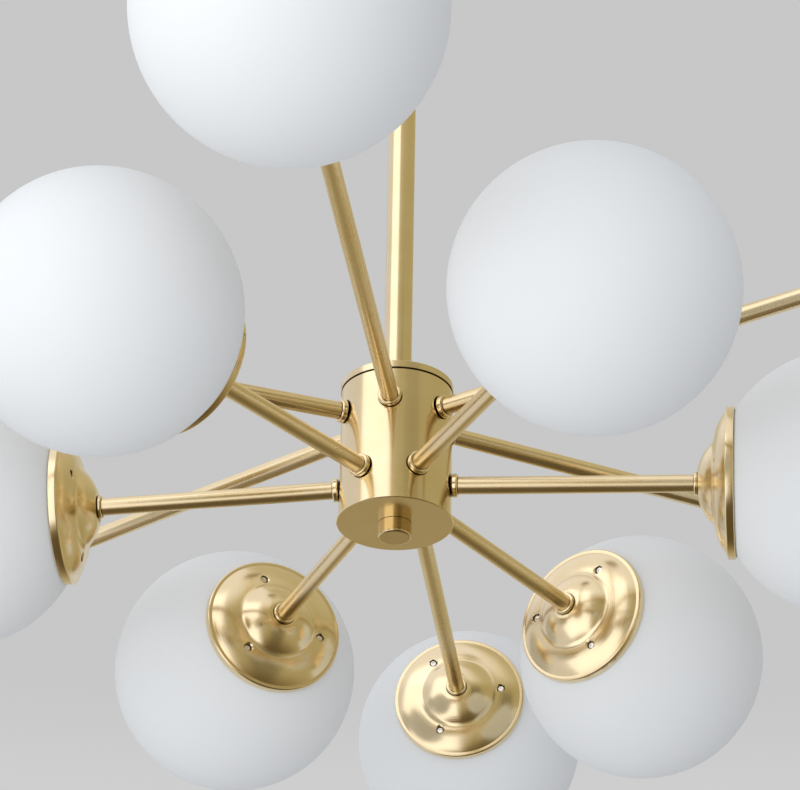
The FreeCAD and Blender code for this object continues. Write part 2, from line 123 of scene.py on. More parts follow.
class Value:
    """A shader socket that joins in Python sums, so that an expression adds its Math nodes."""

    def __init__(self, shader: "Shader", socket: bpy.types.NodeSocket) -> None:
        """Wraps one output socket of a tree."""
        self.shader = shader
        self.socket = socket

    def math(self, operation: str, *others: Operand) -> "Value":
        """One Math node on this value and others."""
        return self.shader.math(operation, self, *others)

    def __add__(self, other: Operand) -> "Value":
        """Sum."""
        return self.math("ADD", other)

    def __sub__(self, other: Operand) -> "Value":
        """Difference."""
        return self.math("SUBTRACT", other)

    def __rsub__(self, other: Operand) -> "Value":
        """Difference from a number."""
        return self.shader.math("SUBTRACT", other, self)

    def __mul__(self, other: Operand) -> "Value":
        """Product."""
        return self.math("MULTIPLY", other)

    def __truediv__(self, other: Operand) -> "Value":
        """Quotient."""
        return self.math("DIVIDE", other)


@dataclass(frozen=True)
class Speckle:
    """Noise of one size, with its detail and its roughness."""

    scale: float
    detail: float = 2.0
    rough: float = 0.5


class Shader:
    """Node tree of one material or of the world."""

    def __init__(self, tree: bpy.types.NodeTree) -> None:
        """Starts with an empty tree."""
        self.tree = tree
        tree.nodes.clear()

    def add(
        self,
        kind: str,
        settings: Optional[Dict[str, object]] = None,
        inputs: Optional[Dict[Union[int, str], object]] = None,
        output: Union[int, str, None] = 0,
    ) -> Optional[Value]:
        """Adds a node, sets it up and links it.

        Args:
            kind: The node's type.
            settings: Its settings.
            inputs: Numbers, colours or values for its sockets, by name or index.
            output: The socket that is handed back, or None for an end node.

        Returns:
            The chosen output as a value.
        """
        node = self.tree.nodes.new(kind)
        for name, setting in (settings or {}).items():
            setattr(node, name, setting)
        for name, entry in (inputs or {}).items():
            if isinstance(entry, Value):
                self.tree.links.new(entry.socket, node.inputs[name])
            else:
                node.inputs[name].default_value = entry
        return None if output is None else Value(self, node.outputs[output])

    def math(self, operation: str, *inputs: Operand) -> Value:
        """A Math node on values or numbers."""
        return self.add("ShaderNodeMath", {"operation": operation}, dict(enumerate(inputs)))

    def axes(self, coordinate: str = "Object") -> Tuple[Value, Value, Value]:
        """The three parts of a texture coordinate."""
        where = self.add("ShaderNodeTexCoord", output=coordinate)
        return tuple(self.add("ShaderNodeSeparateXYZ", {}, {0: where}, i) for i in range(3))

    def arm_axes(self, tier: Tier) -> Tuple[Value, Value, Value]:
        """Places along, across and above the nearest arm, the same on every arm of a tier.

        Args:
            tier: The ring of arms.

        Returns:
            Distance along the arm from the rod, and the two offsets from its axis.
        """
        x, y, z = self.axes()
        step = FULL_TURN / ARMS_PER_TIER
        first = math.radians(tier.first)
        turn = x.math("ARCTAN2", y * -1.0)
        nearest = ((turn - first) / step).math("ROUND") * step + first
        sine, cosine = nearest.math("SINE"), nearest.math("COSINE")
        level = x * sine - y * cosine
        across = x * cosine + y * sine
        rise = z - tier.height
        along = level * math.cos(ARM_DROOP) - rise * math.sin(ARM_DROOP)
        above = level * math.sin(ARM_DROOP) + rise * math.cos(ARM_DROOP)
        return along, across, above

    def length(self, first: Value, second: Value) -> Value:
        """Distance from an axis, from the two offsets."""
        return (first * first + second * second).math("SQRT")

    def point(self, x: Operand, y: Operand, z: Operand) -> Value:
        """A vector from three parts."""
        return self.add("ShaderNodeCombineXYZ", {}, {0: x, 1: y, 2: z})

    def noise(self, where: Value, speckle: Speckle) -> Value:
        """Noise from 0 to 1 at a point."""
        inputs = {"Scale": speckle.scale, "Detail": speckle.detail, "Roughness": speckle.rough}
        return self.add("ShaderNodeTexNoise", {}, {"Vector": where, **inputs})

    def ramp(self, value: Operand, span: Span, start: float = 0.0, end: float = 1.0) -> Value:
        """Soft step of a value over a span, turned into the range from start to end.

        Args:
            value: The value.
            span: Where the step starts and ends.
            start: Result before the step.
            end: Result after it.

        Returns:
            The result.
        """
        settings = {"interpolation_type": "SMOOTHSTEP", "clamp": True}
        inputs = {0: value, 1: span[0], 2: span[1], 3: start, 4: end}
        return self.add("ShaderNodeMapRange", settings, inputs)

    def near(self, value: Value, middle: float, half: float, edge: float) -> Value:
        """1 where a value is within half of the middle, with a soft edge."""
        away = (value - middle).math("ABSOLUTE")
        return self.ramp(away, (half - edge, half + edge), 1.0, 0.0)

    def mix(self, share: Operand, first: object, second: object) -> Value:
        """Colour between two colours.

        Args:
            share: Share of the second colour.
            first: A colour or a value.
            second: A colour or a value.

        Returns:
            The mixed colour.
        """
        shades = [(*c, 1.0) if isinstance(c, tuple) else c for c in (first, second)]
        inputs = {0: share, 6: shades[0], 7: shades[1]}
        return self.add("ShaderNodeMix", {"data_type": "RGBA"}, inputs, 2)

    def bump(self, height: Value, strength: float, distance: float) -> Value:
        """Normal of a surface raised by a height from 0 to 1."""
        inputs = {"Height": height, "Strength": strength, "Distance": distance}
        return self.add("ShaderNodeBump", {}, inputs)

    def surface(self, inputs: Dict[str, object]) -> None:
        """Ends a material in a Principled shader."""
        shade = self.add("ShaderNodeBsdfPrincipled", {}, inputs)
        self.add("ShaderNodeOutputMaterial", {}, {0: shade}, None)


@dataclass(frozen=True)
class Finish:
    """A material that is made once and then handed out."""

    name: str

    def material(self) -> bpy.types.Material:
        """The finish's material, made when it is first asked for.

        Returns:
            The material.
        """
        made = bpy.data.materials.get(self.name)
        if made is None:
            made = bpy.data.materials.new(self.name)
            made.use_nodes = True
            self.fill(Shader(made.node_tree))
        return made

    def fill(self, shader: Shader) -> None:
        """Builds the nodes."""
        raise NotImplementedError

    def dress(self, *nodes: str) -> None:
        """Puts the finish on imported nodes.

        Args:
            nodes: The names of the nodes.
        """
        for node in nodes:
            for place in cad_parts[node].material_slots:
                place.material = self.material()
            LOG.info("%s is %s", node, self.name)


class Grain(Enum):
    """The way that a metal piece was brushed or turned."""

    ALONG_ARM = "along_arm"
    ROUND_ARM = "round_arm"
    ROUND_ROD = "round_rod"
    ALONG_ROD = "along_rod"


@dataclass(frozen=True)
class Brass(Finish):
    """Lacquered brass with fine brush lines and a little uneven tone."""

    grain: Grain = Grain.ROUND_ROD
    tone: Color = (0.88, 0.73, 0.46)
    deep: Color = (0.83, 0.67, 0.385)
    rough: float = 0.19
    relief: float = 0.10
    coat: float = 0.25
    tier: Optional[Tier] = None
    # black is the colour of the painted shade that the subclasses mask into joints and grooves
    black: Color = (0.03, 0.024, 0.016)
    cloud: Speckle = Speckle(38.0, 3.0, 0.6)
    cloud_share: float = 0.7
    cloud_rough: float = 0.08
    brush: Speckle = Speckle(1500.0)
    brush_share: float = 0.3
    brush_rough: float = 0.1
    brush_stretch: float = 0.004
    brush_depth: float = 0.0002
    blend: Span = (0.25, 0.75)
    coat_rough: float = 0.16

    def fill(self, shader: Shader) -> None:
        """Builds the nodes.

        Args:
            shader: The material's tree.
        """
        lines = self._lines(shader)
        cloud = shader.noise(shader.point(*shader.axes()), self.cloud)
        shade = shader.ramp(cloud * self.cloud_share + lines * self.brush_share, self.blend)
        color = shader.mix(shade, self.deep, self.tone)
        # Painted shade: the mask blackens joints and grooves where shade falls
        painted_shade = self._painted_shade(shader)
        uneven = (lines - 0.5) * self.brush_rough + (cloud - 0.5) * self.cloud_rough
        shader.surface({
            "Base Color": color if painted_shade is None else shader.mix(painted_shade, color, self.black),
            "Metallic": 1.0,
            "Roughness": uneven + self.rough,
            "Normal": self._relief(shader, lines),
            "Coat Weight": self.coat,
            "Coat Roughness": self.coat_rough,
        })

    def _painted_shade(self, shader: Shader) -> Optional[Value]:
        """Where black is painted as shade in a joint or groove, or None where none is painted."""
        return None

    def _relief(self, shader: Shader, lines: Value) -> Value:
        """The normal of the brushed surface."""
        return shader.bump(lines, self.relief, self.brush_depth)

    def _lines(self, shader: Shader) -> Value:
        """Brush lines from 0 to 1.

        Args:
            shader: The material's tree.

        Returns:
            The lines' height.
        """
        if self.grain in (Grain.ALONG_ROD, Grain.ROUND_ROD):
            x, y, z = shader.axes()
            along, across, above = z, x, y
        else:
            along, across, above = shader.arm_axes(self.tier)
        if self.grain in (Grain.ALONG_ROD, Grain.ALONG_ARM):
            return shader.noise(shader.point(along * self.brush_stretch, across, above), self.brush)
        return shader.noise(shader.point(along, shader.length(across, above), 0.0), self.brush)


@dataclass(frozen=True)
class CapBrass(Brass):
    """Brass of the hub's cap, with shade painted black in its reveal groove."""

    groove_radius: float = 0.0316
    groove_low: float = -0.4546
    groove_high: float = -0.4535

    def _painted_shade(self, shader: Shader) -> Value:
        """Where shade is painted in the groove.

        Args:
            shader: The material's tree.

        Returns:
            1 where the groove is painted black as shade, and 0 elsewhere.
        """
        # Painted shade: the reveal groove is blackened as a shaded recess
        x, y, z = shader.axes()
        inside = shader.length(x, y).math("LESS_THAN", self.groove_radius)
        higher = z.math("GREATER_THAN", self.groove_low)
        return inside * higher * z.math("LESS_THAN", self.groove_high)


@dataclass(frozen=True)
class ShellBrass(Brass):
    """Brass of the hub's shell, with shade painted black round the collars of the arms."""

    # Radius of the painted contact shadow round each collar
    collar: float = 0.0070

    def _painted_shade(self, shader: Shader) -> Value:
        """The painted shade at the joints of the collars.

        Args:
            shader: The material's tree.

        Returns:
            1 where shade is painted at the joints and 0 elsewhere.
        """
        rounds = []
        for tier in Tier:
            _, across, above = shader.arm_axes(tier)
            rounds.append(shader.length(across, above).math("LESS_THAN", self.collar))
        return rounds[0].math("MAXIMUM", rounds[1])


@dataclass(frozen=True)
class ArmBrass(Brass):
    """Brass of the arm tubes, with shade painted black where they enter the collars."""

    hub_end: float = 0.0361
    cup_end: float = -0.0863

    def _painted_shade(self, shader: Shader) -> Value:
        """The painted shade at the joints of the two collars.

        Args:
            shader: The material's tree.

        Returns:
            1 at the joints and 0 elsewhere.
        """
        # Painted shade: the arm is blackened inside both collars, where it shows through the gaps
        along, _, _ = shader.arm_axes(self.tier)
        inner = along.math("LESS_THAN", self.hub_end)
        return inner.math("MAXIMUM", along.math("GREATER_THAN", self.tier.reach + self.cup_end))


@dataclass(frozen=True)
class CupBrass(Brass):
    """Brass of the cups, with shade painted black round the collar of the arm."""

    # Radius of the painted contact shadow round the collar
    collar: float = 0.0071

    def _painted_shade(self, shader: Shader) -> Value:
        """Where shade is painted at the joint of the collar."""
        _, across, above = shader.arm_axes(self.tier)
        return shader.length(across, above).math("LESS_THAN", self.collar)


@dataclass(frozen=True)
class CollarBrass(Brass):
    """Brass of the hub's collars, with shade painted black on the side of the hub."""

    hub: float = 0.0328

    def _painted_shade(self, shader: Shader) -> Value:
        """Where shade is painted on the side of the hub."""
        # Painted shade: the collar's hub side is blackened as a contact shadow
        x, y, _ = shader.axes()
        return shader.length(x, y).math("LESS_THAN", self.hub)


@dataclass(frozen=True)
class ThreadedBrass(Brass):
    """Brass tube with a fine thread round the rod's axis."""

    pitch: float = 0.001
    thread: float = 0.5

    def _relief(self, shader: Shader, lines: Value) -> Value:
        """The normal of the threaded surface.

        Args:
            shader: The material's tree.
            lines: The brush lines, which the thread covers; not used.

        Returns:
            The normal.
        """
        x, y, z = shader.axes()
        turn = x.math("ARCTAN2", y) / FULL_TURN
        wave = ((z / self.pitch + turn) * FULL_TURN).math("SINE") * 0.5 + 0.5
        return shader.bump(wave, self.thread, self.pitch * 0.5)


@dataclass(frozen=True)
class OpalGlass(Finish):
    """White glass, etched matt, with a faint unevenness of the blown wall."""

    tone: Color = (0.895, 0.92, 0.95)
    thin: Color = (0.885, 0.91, 0.94)
    rough: float = 0.6
    gloss: float = 0.0
    cloud: Speckle = Speckle(14.0)
    blend: Span = (0.3, 0.7)
    etch: Speckle = Speckle(2600.0, 2.0, 0.6)
    etch_rough: float = 0.12
    etch_relief: float = 0.05
    etch_depth: float = 0.0001

    def fill(self, shader: Shader) -> None:
        """Builds the nodes.

        Args:
            shader: The material's tree.
        """
        where = shader.point(*shader.axes())
        cloud = shader.noise(where, self.cloud)
        etch = shader.noise(where, self.etch)
        shader.surface({
            "Base Color": shader.mix(shader.ramp(cloud, self.blend), self.thin, self.tone),
            "Roughness": (etch - 0.5) * self.etch_rough + self.rough,
            "Normal": shader.bump(etch, self.etch_relief, self.etch_depth),
            "Specular IOR Level": self.gloss,
        })


@dataclass(frozen=True)
class PlainFinish(Finish):
    """Plated steel, moulded white, glaze or soft silicone of the small pieces, or the painted shade
    of the screw pockets.
    """

    tone: Color = (0.8, 0.8, 0.8)
    other: Color = (0.75, 0.75, 0.75)
    rough: float = 0.4
    metallic: float = 0.0
    cloud: Speckle = Speckle(220.0, 3.0, 0.6)
    blend: Span = (0.3, 0.7)
    fine: Speckle = Speckle(1980.0)
    fine_rough: float = 0.14
    fine_relief: float = 0.1
    fine_depth: float = 0.0001

    def fill(self, shader: Shader) -> None:
        """Builds the nodes.

        Args:
            shader: The material's tree.
        """
        where = shader.point(*shader.axes())
        cloud = shader.noise(where, self.cloud)
        fine = shader.noise(where, self.fine)
        shader.surface({
            "Base Color": shader.mix(shader.ramp(cloud, self.blend), self.other, self.tone),
            "Metallic": self.metallic,
            "Roughness": (fine - 0.5) * self.fine_rough + self.rough,
            "Normal": shader.bump(fine, self.fine_relief, self.fine_depth),
        })


def plated(name: str) -> PlainFinish:
    """Zinc plate of the hidden steel pieces."""
    return PlainFinish(name, (0.60, 0.61, 0.62), (0.48, 0.49, 0.51), rough=0.32, metallic=1.0)


@dataclass(frozen=True)
class BulbFinish(Finish):
    """Frosted bulb on a glazed neck with two bright pins."""

    tier: Tier = Tier.UPPER
    pin_end: float = -0.05366
    neck_end: float = -0.04756
    frost: Color = (0.90, 0.90, 0.87)
    glaze: Color = (0.80, 0.79, 0.75)
    pin: Color = (0.66, 0.65, 0.62)
    speck: Color = (0.55, 0.54, 0.5)
    speck_share: float = 0.12
    rough: float = 0.5
    neck_gloss: float = 0.22
    grain: Speckle = Speckle(900.0, 3.0, 0.6)
    grain_rough: float = 0.1
    grain_relief: float = 0.06
    grain_depth: float = 0.0001

    def fill(self, shader: Shader) -> None:
        """Builds the nodes.

        Args:
            shader: The material's tree.
        """
        along, across, above = shader.arm_axes(self.tier)
        out = along - self.tier.reach
        pins = out.math("LESS_THAN", self.pin_end)
        neck = out.math("LESS_THAN", self.neck_end)
        grain = shader.noise(shader.point(along, across, above), self.grain)
        color = shader.mix(pins, shader.mix(neck, self.frost, self.glaze), self.pin)
        uneven = (grain - 0.5) * self.grain_rough
        shader.surface({
            "Base Color": shader.mix(grain * self.speck_share, color, self.speck),
            "Metallic": pins,
            "Roughness": uneven + self.rough - neck * self.neck_gloss,
            "Normal": shader.bump(grain, self.grain_relief, self.grain_depth),
        })


class Bench:
    """One new piece on the bench: a primitive that operators shape in edit mode."""

    def __init__(self, piece: bpy.types.Object) -> None:
        """Puts a piece on the bench."""
        self.piece = piece

    @classmethod
    def start(cls, name: str, primitive: Callable[..., object], **sizes: object) -> "Bench":
        """Starts a piece and selects all of it in edit mode.

        Args:
            name: The piece's name.
            primitive: The operator that adds the start.
            sizes: The operator's settings.

        Returns:
            The bench with the piece in edit mode.
        """
        bpy.ops.object.select_all(action="DESELECT")
        primitive(**sizes)
        piece = bpy.context.object
        piece.name = piece.data.name = name
        bpy.ops.object.mode_set(mode="EDIT")
        bpy.ops.mesh.select_all(action="SELECT")
        return cls(piece)

    @classmethod
    def turned(cls, name: str, outline: Sequence[Spot], steps: int) -> "Bench":
        """A closed outline turned round the Z axis.

        Args:
            name: The piece's name.
            outline: Places along the axis with their radii, in order round the section.
            steps: Steps of the full turn.

        Returns:
            The bench with the turned piece in edit mode.
        """
        first = (outline[0][1], 0.0, outline[0][0])
        plane = bpy.ops.mesh.primitive_plane_add
        bench = cls.start(name, plane, size=SEED_SIZE, location=(0, 0, 0))
        bpy.ops.mesh.merge(type="CENTER")
        bpy.ops.transform.translate(value=first)
        for start, end in zip(outline, [*outline[1:], outline[0]]):
            move = (end[1] - start[1], 0.0, end[0] - start[0])
            bpy.ops.mesh.extrude_region_move(TRANSFORM_OT_translate={"value": move})
        bpy.ops.mesh.select_all(action="SELECT")
        bpy.ops.mesh.spin(steps=steps, angle=FULL_TURN, center=(0, 0, 0), axis=(0, 0, 1))
        bpy.ops.mesh.select_all(action="SELECT")
        bpy.ops.mesh.remove_doubles(threshold=SAME_POINT)
        bpy.ops.mesh.normals_make_consistent(inside=False)
        return bench

    def pick_edges(self, test: Callable[[bmesh.types.BMEdge], bool]) -> None:
        """Selects the edges that pass a test, and nothing else.

        Args:
            test: The test.
        """
        bpy.ops.mesh.select_mode(type="EDGE")
        bpy.ops.mesh.select_all(action="DESELECT")
        mesh = bmesh.from_edit_mesh(self.piece.data)
        for edge in mesh.edges:
            edge.select_set(test(edge))
        mesh.select_flush_mode()
        bmesh.update_edit_mesh(self.piece.data)

    def leave(self) -> bpy.types.Object:
        """Goes back to object mode, with the piece alone selected and active.

        Returns:
            The piece.
        """
        if bpy.context.mode != "OBJECT":
            bpy.ops.object.mode_set(mode="OBJECT")
        return pick(self.piece)

    def modify(self, kind: str, **settings: object) -> None:
        """Adds one modifier and applies it.

        Args:
            kind: The modifier's type.
            settings: The modifier's settings.
        """
        self.leave()
        modifier = self.piece.modifiers.new(kind.lower(), kind)
        for name, setting in settings.items():
            setattr(modifier, name, setting)
        bpy.ops.object.modifier_apply(modifier=modifier.name)

    def carve(self, operation: str, tool: bpy.types.Object, keep_tool: bool = False) -> None:
        """Joins, cuts or trims the piece with a tool.

        Args:
            operation: The Boolean modifier's operation.
            tool: The other piece.
            keep_tool: Whether the tool is used again.
        """
        self.modify("BOOLEAN", operation=operation, solver="EXACT", object=tool)
        if not keep_tool:
            bpy.data.objects.remove(tool)

    def smooth(self, angle: float) -> bpy.types.Object:
        """Shades the piece smooth, apart from sharp edges.

        Args:
            angle: The largest smooth angle in degrees.

        Returns:
            The piece.
        """
        self.leave()
        bpy.ops.object.shade_smooth_by_angle(angle=math.radians(angle))
        return self.piece


def pick(piece: bpy.types.Object) -> bpy.types.Object:
    """Selects one piece alone and makes it active.

    Args:
        piece: The piece.

    Returns:
        The same piece.
    """
    bpy.ops.object.select_all(action="DESELECT")
    piece.select_set(True)
    bpy.context.view_layer.objects.active = piece
    return piece


def copied(piece: bpy.types.Object, name: str, place: Matrix) -> bpy.types.Object:
    """Copies a piece with a mesh of its own and sets its place in the mesh.

    Args:
        piece: The piece to copy.
        name: The copy's name.
        place: The frame that the copy is moved into.

    Returns:
        The copy, at the origin and unturned.
    """
    copy = piece.copy()
    copy.data = piece.data.copy()
    copy.name = copy.data.name = name
    bpy.context.scene.collection.objects.link(copy)
    pick(copy)
    copy.matrix_world = place
    bpy.ops.object.transform_apply(location=True, rotation=True, scale=True)
    return copy


def joined(pieces: Sequence[bpy.types.Object]) -> bpy.types.Object:
    """Joins pieces into the first of them.

    Args:
        pieces: The pieces.

    Returns:
        The first piece.
    """
    pick(pieces[0])
    for piece in pieces[1:]:
        piece.select_set(True)
    bpy.ops.object.join()
    return pieces[0]


def bow(start: Spot, end: Spot, rise: float, inset: float = 0.0, steps: int = 12) -> List[Spot]:
    """Spots on an arc that bows outwards.

    Args:
        start: First end of the arc.
        end: Second end.
        rise: Height of the arc above its chord.
        inset: Distance that the arc is moved in.
        steps: Number of chords.

    Returns:
        The spots from start to end.
    """
    chord = math.dist(start, end)
    radius = (chord ** 2 / 4 + rise ** 2) / (2 * rise)
    along = ((end[0] - start[0]) / chord, (end[1] - start[1]) / chord)
    out = (along[1], -along[0])
    centre = [(start[i] + end[i]) / 2 + out[i] * (rise - radius) for i in (0, 1)]
    half = math.asin(chord / 2 / radius)
    spots = []
    for step in range(steps + 1):
        turn = half * (2 * step / steps - 1)
        ray = [out[i] * math.cos(turn) + along[i] * math.sin(turn) for i in (0, 1)]
        spots.append(tuple(centre[i] + ray[i] * (radius - inset) for i in (0, 1)))
    return spots


def keep(
    piece: bpy.types.Object, finishes: Sequence[Finish], node: str, body: str
) -> None:
    """Hands a new piece in.

    Args:
        piece: The piece.
        finishes: Its finishes, in the order of its faces' material numbers.
        node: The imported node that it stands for.
        body: The body that it rides on.
    """
    for finish in finishes:
        piece.data.materials.append(finish.material())
    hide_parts(node)
    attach(piece, body)
    LOG.info("%s stands for %s in %s", piece.name, node, finishes[0].name)


class Assembly:
    """A part of the light with its own pieces."""

    def build(self) -> None:
        """Models new pieces, where it has any."""

    def dress(self) -> None:
        """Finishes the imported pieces, where it keeps any."""


@dataclass
class CeilingFitting(Assembly):
    """Bracket, terminal block and canopy at the ceiling."""

    brass: Brass = Brass("canopy_brass", rough=0.32)
    collar: Brass = Brass("canopy_collar_brass", rough=0.16)
    steel: PlainFinish = plated("zinc_plate")
    plastic: PlainFinish = PlainFinish(
        "moulded_white", (0.80, 0.80, 0.78), (0.75, 0.75, 0.73), 0.45)

    def dress(self) -> None:
        """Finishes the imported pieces."""
        self.brass.dress("canopy")
        self.collar.dress("canopy_collar")
        self.steel.dress("ceiling_bracket", "bracket_screws", "canopy_grub_screw")
        self.plastic.dress("terminal_block")


@dataclass
class Stem(Assembly):
    """Rod, its plugs, and the threaded tubes with their nuts."""

    rod: Brass = Brass("rod_brass", Grain.ALONG_ROD, relief=0.15)
    nut: Brass = Brass("nut_brass", rough=0.3, coat=0.0)
    thread: ThreadedBrass = ThreadedBrass("thread_brass", rough=0.3, coat=0.0)

    def dress(self) -> None:
        """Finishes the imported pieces."""
        self.rod.dress("down_rod")
        self.nut.dress("rod_plugs", "stem_nuts")
        self.thread.dress("threaded_tubes")


@dataclass
class Hub(Assembly):
    """Hub shell, cap and finial knob."""

    shell: ShellBrass = ShellBrass("hub_brass")
    cap: CapBrass = CapBrass("cap_brass")
    knob: Brass = Brass("knob_brass", tone=(0.72, 0.57, 0.31), deep=(0.66, 0.51, 0.27), relief=0.03)

    def dress(self) -> None:
        """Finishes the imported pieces."""
        self.shell.dress("hub_shell")
        self.cap.dress("hub_cap")
        self.knob.dress("finial_knob")


@dataclass
class Arms(Assembly):
    """Arm tubes with their collars and lock nuts."""

    relief: float = 0.02
    rough: float = 0.28
    coat: float = 0.0
    hub_collar: CollarBrass = CollarBrass("hub_collar_brass", rough=0.12)
    cup_collar: Brass = Brass("cup_collar_brass", rough=0.12)
    nut: Brass = Brass("locknut_brass", rough=0.3, coat=0.0)

    def dress(self) -> None:
        """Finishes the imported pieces."""
        for tier in Tier:
            brass = ArmBrass(
                f"{tier.label}_arm_brass",
                Grain.ALONG_ARM,
                rough=self.rough,
                relief=self.relief,
                coat=self.coat,
                tier=tier,
            )
            brass.dress(*tier.names("arm"))
        self.hub_collar.dress("hub_collars")
        self.cup_collar.dress("cup_collars")
        self.nut.dress("arm_locknuts")


@dataclass
class Globes(Assembly):
    """Blown globes with a fire-polished mouth."""

    radius: float = 0.075
    wall: float = 0.0025
    mouth: float = 0.031
    polish: float = 0.0009
    polish_steps: int = 4
    segments: int = 96
    rings: int = 64
    smooth_angle: float = 40.0
    glass: OpalGlass = OpalGlass("etched_opal")

    def build(self) -> None:
        """Models one globe and sets a copy on every arm."""
        globe = self._globe()
        for tier in Tier:
            for number, node in enumerate(tier.names("globe")):
                name = f"{tier.label}_glass_{number + 1}"
                piece = copied(globe, name, tier.place(number))
                keep(piece, (self.glass,), node, node)
        bpy.data.objects.remove(globe)

    def _globe(self) -> bpy.types.Object:
        """Models one globe at the origin, its mouth towards -Z.

        Returns:
            The globe.
        """
        sizes = {"segments": self.segments, "ring_count": self.rings}
        inner = self.radius - self.wall
        sphere = bpy.ops.mesh.primitive_uv_sphere_add
        bench = Bench.start("globe", sphere, radius=self.radius, **sizes)
        self._open(self.radius)
        bpy.ops.mesh.select_all(action="DESELECT")
        sphere(radius=inner, **sizes)
        self._open(inner)
        bench.pick_edges(lambda edge: edge.is_boundary)
        bpy.ops.mesh.bridge_edge_loops()
        bpy.ops.mesh.select_all(action="SELECT")
        bpy.ops.mesh.normals_make_consistent(inside=False)
        lips = [self._lip(radius) for radius in (self.radius, inner)]
        bench.pick_edges(lambda edge: any(
            all(abs(vert.co.z - lip) < SAME_HEIGHT for vert in edge.verts) for lip in lips))
        bpy.ops.mesh.bevel(offset=self.polish, segments=self.polish_steps, affect="EDGES")
        return bench.smooth(self.smooth_angle)

    def _lip(self, radius: float) -> float:
        """Height at which a sphere is as wide as the mouth."""
        return -math.sqrt(radius ** 2 - self.mouth ** 2)

    def _open(self, radius: float) -> None:
        """Cuts the selected sphere open at the mouth."""
        low = (0, 0, self._lip(radius))
        bpy.ops.mesh.bisect(plane_co=low, plane_no=(0, 0, 1), clear_inner=True)


